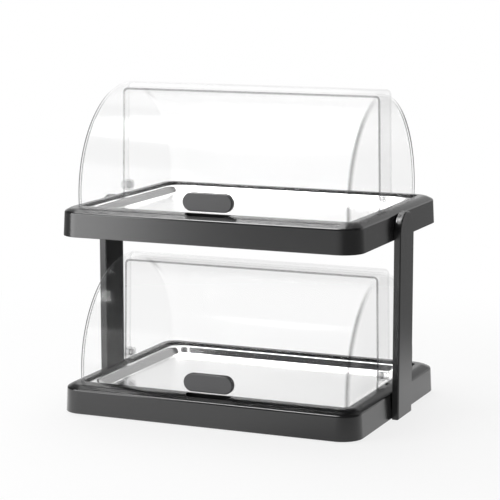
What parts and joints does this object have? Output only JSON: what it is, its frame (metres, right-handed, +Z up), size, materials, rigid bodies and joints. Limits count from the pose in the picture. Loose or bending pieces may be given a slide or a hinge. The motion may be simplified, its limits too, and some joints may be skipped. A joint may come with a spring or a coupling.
{
  "type": "refrigerated roll-top display",
  "caption": "Two-tier chilled counter display: dark moulded decks on side posts, steel trays over cooling packs, and clear roll-top domes with pill handles.",
  "frame": {"origin": "on the table under the middle of the stand", "axes": "+X to the right seen from the front, +Y to the back, +Z up"},
  "size_m": [0.4592, 0.35, 0.452],
  "materials": {
    "deck_plastic": "satin moulded black plastic with a fine grain",
    "post_plastic": "satin moulded black plastic with a fine grain",
    "clear_plastic": "clear polished plastic",
    "tray_steel": "bright stainless sheet",
    "handle_plastic": "satin dark grey plastic",
    "pack_plastic": "blue blow-moulded plastic",
    "plug_plastic": "white moulded plastic",
    "screw_steel": "zinc-plated steel",
    "rubber": "matt black rubber"
  },
  "bodies": {
    "stand": {"left_post": "post_plastic", "right_post": "post_plastic", "post_screws": "screw_steel", "post_washers": "screw_steel", "rubber_feet": "rubber", "lower_deck": "deck_plastic", "lower_base_plate": "deck_plastic", "lower_base_screws": "screw_steel", "lower_left_cooling_pack": "pack_plastic", "lower_right_cooling_pack": "pack_plastic", "lower_filler_plugs": "plug_plastic", "upper_deck": "deck_plastic", "upper_base_plate": "deck_plastic", "upper_base_screws": "screw_steel", "upper_left_cooling_pack": "pack_plastic", "upper_right_cooling_pack": "pack_plastic", "upper_filler_plugs": "plug_plastic"},
    "lower_tray": {"lower_tray": "tray_steel"},
    "lower_cover": {"lower_rear_cover": "clear_plastic", "lower_pivot_pins": "clear_plastic", "lower_pivot_caps": "clear_plastic"},
    "lower_lid": {"lower_front_lid": "clear_plastic", "lower_handle": "handle_plastic", "lower_handle_screws": "screw_steel"},
    "upper_tray": {"upper_tray": "tray_steel"},
    "upper_cover": {"upper_rear_cover": "clear_plastic", "upper_pivot_pins": "clear_plastic", "upper_pivot_caps": "clear_plastic"},
    "upper_lid": {"upper_front_lid": "clear_plastic", "upper_handle": "handle_plastic", "upper_handle_screws": "screw_steel"}
  },
  "joints": [
    {"name": "lower_tray_lift", "type": "slide", "parent": "stand", "child": "lower_tray", "axis": [0, 0, 1], "range_m": [0, 0.012]},
    {"name": "lower_cover_lift", "type": "slide", "parent": "lower_tray", "child": "lower_cover", "axis": [0, 0, 1], "range_m": [0, 0.018]},
    {"name": "lower_lid_hinge", "type": "hinge", "parent": "lower_cover", "child": "lower_lid", "pos_m": [0, 0, 0.0545], "axis": [-1, 0, 0], "range_deg": [0, 90]},
    {"name": "upper_tray_lift", "type": "slide", "parent": "stand", "child": "upper_tray", "axis": [0, 0, 1], "range_m": [0, 0.03]},
    {"name": "upper_cover_lift", "type": "slide", "parent": "upper_tray", "child": "upper_cover", "axis": [0, 0, 1], "range_m": [0, 0.06]},
    {"name": "upper_lid_hinge", "type": "hinge", "parent": "upper_cover", "child": "upper_lid", "pos_m": [0, 0, 0.3025], "axis": [-1, 0, 0], "range_deg": [0, 90]}
  ]
}
